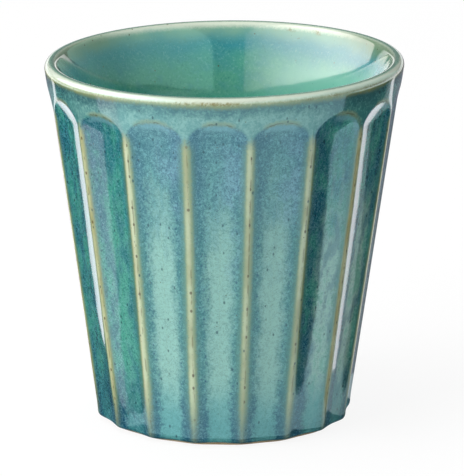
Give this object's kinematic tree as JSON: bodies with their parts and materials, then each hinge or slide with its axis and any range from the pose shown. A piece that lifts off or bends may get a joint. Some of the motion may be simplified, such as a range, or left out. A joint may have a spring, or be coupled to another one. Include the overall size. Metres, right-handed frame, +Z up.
{
  "type": "fluted latte cup",
  "caption": "Handleless stoneware latte cup, tapered, with arched flutes under a plain round lip and a reactive teal glaze inside and out.",
  "frame": {"origin": "centre of the circle that the foot ring stands on", "axes": "+Z up along the cup's axis, -Y through the middle of one flute"},
  "size_m": [0.095, 0.095, 0.098],
  "materials": {
    "bare_stoneware": "matte, unglazed",
    "reactive_teal_glaze": "glossy, mottled, breaking to cream on edges",
    "teal_liner_glaze": "glossy, mottled",
    "recess_teal_glaze": "glossy"
  },
  "bodies": {
    "root": {"stoneware_body": "bare_stoneware", "outer_glaze": "reactive_teal_glaze", "liner_glaze": "teal_liner_glaze", "recess_glaze": "recess_teal_glaze"}
  },
  "joints": []
}
